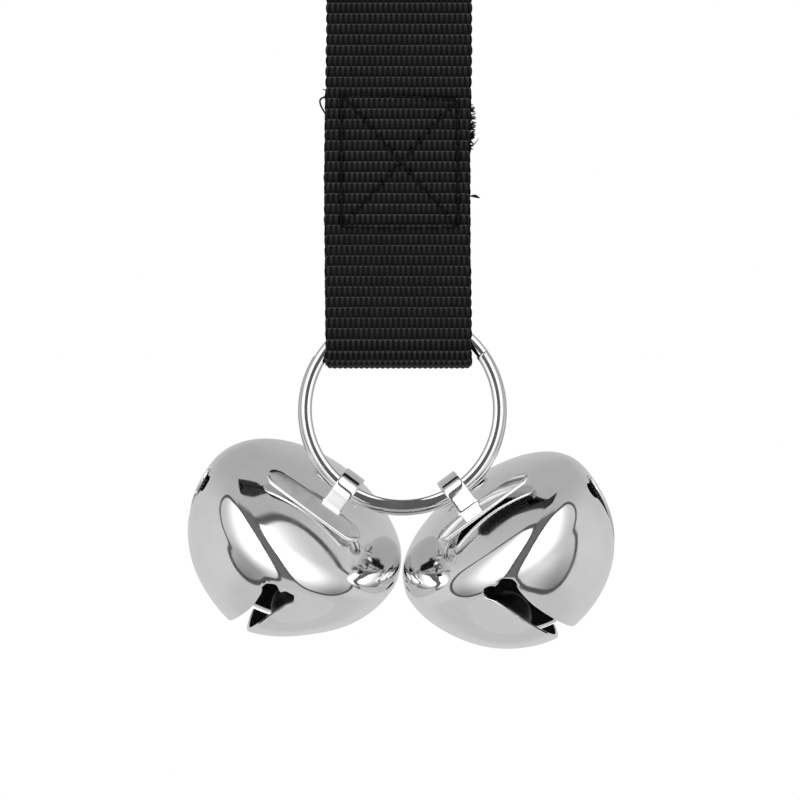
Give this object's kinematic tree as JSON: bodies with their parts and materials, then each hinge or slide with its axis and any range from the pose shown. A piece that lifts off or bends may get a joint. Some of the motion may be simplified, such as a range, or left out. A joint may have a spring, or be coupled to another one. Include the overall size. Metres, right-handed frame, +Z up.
{
  "type": "sleigh bells",
  "caption": "Jingle bells with slotted round shells hanging from a split ring on a short sewn webbing strap that ends in a door-handle loop.",
  "frame": {"origin": "where the door handle bears inside the top of the webbing loop, midway across its width", "axes": "+Z up along the hanging strap, +X across the webbing to the right seen from the front, -Y the front"},
  "size_m": [0.0741, 0.0473, 0.2281],
  "materials": {
    "webbing": "ribbed black nylon weave, slight sheen",
    "thread": "black sewing thread",
    "ring_nickel": "bright nickel plate",
    "bell_nickel": "mirror nickel plate",
    "shank_nickel": "bright nickel plate",
    "pellet_steel": "tumbled plain steel"
  },
  "bodies": {
    "strap_top": {"strap_upper": "webbing", "upper_box_stitch": "thread"},
    "strap_end": {"strap_lower": "webbing", "lower_box_stitch": "thread"},
    "ring": {"split_ring": "ring_nickel"},
    "left_bell": {"left_bell_shell": "bell_nickel", "left_bell_shank": "shank_nickel"},
    "left_pellet": {"left_bell_pellet": "pellet_steel"},
    "right_bell": {"right_bell_shell": "bell_nickel", "right_bell_shank": "shank_nickel"},
    "right_pellet": {"right_bell_pellet": "pellet_steel"}
  },
  "joints": [
    {"name": "strap_flex", "type": "hinge", "parent": "strap_top", "child": "strap_end", "pos_m": [0, -0.00075, -0.118], "axis": [1, 0, 0], "range_deg": [-60, 60]},
    {"name": "ring_swing", "type": "hinge", "parent": "strap_end", "child": "ring", "pos_m": [0, 0, -0.1729], "axis": [1, 0, 0], "range_deg": [-10, 10]},
    {"name": "left_bell_swing", "type": "hinge", "parent": "ring", "child": "left_bell", "pos_m": [-0.00921, 0, -0.19857], "axis": [0.8171, 0, -0.5764], "range_deg": [-40, 0]},
    {"name": "right_bell_swing", "type": "hinge", "parent": "ring", "child": "right_bell", "pos_m": [0.00958, 0, -0.199], "axis": [0.8425, 0, 0.5388], "range_deg": [-40, 0]},
    {"name": "left_pellet_roll", "type": "hinge", "parent": "left_bell", "child": "left_pellet", "pos_m": [-0.01785, 0.00686, -0.20612], "axis": [0.4967, -0.518, 0.6964], "continuous": true},
    {"name": "right_pellet_roll", "type": "hinge", "parent": "right_bell", "child": "right_pellet", "pos_m": [0.01839, 0.00489, -0.20763], "axis": [-0.5439, -0.3681, 0.7541], "continuous": true}
  ]
}
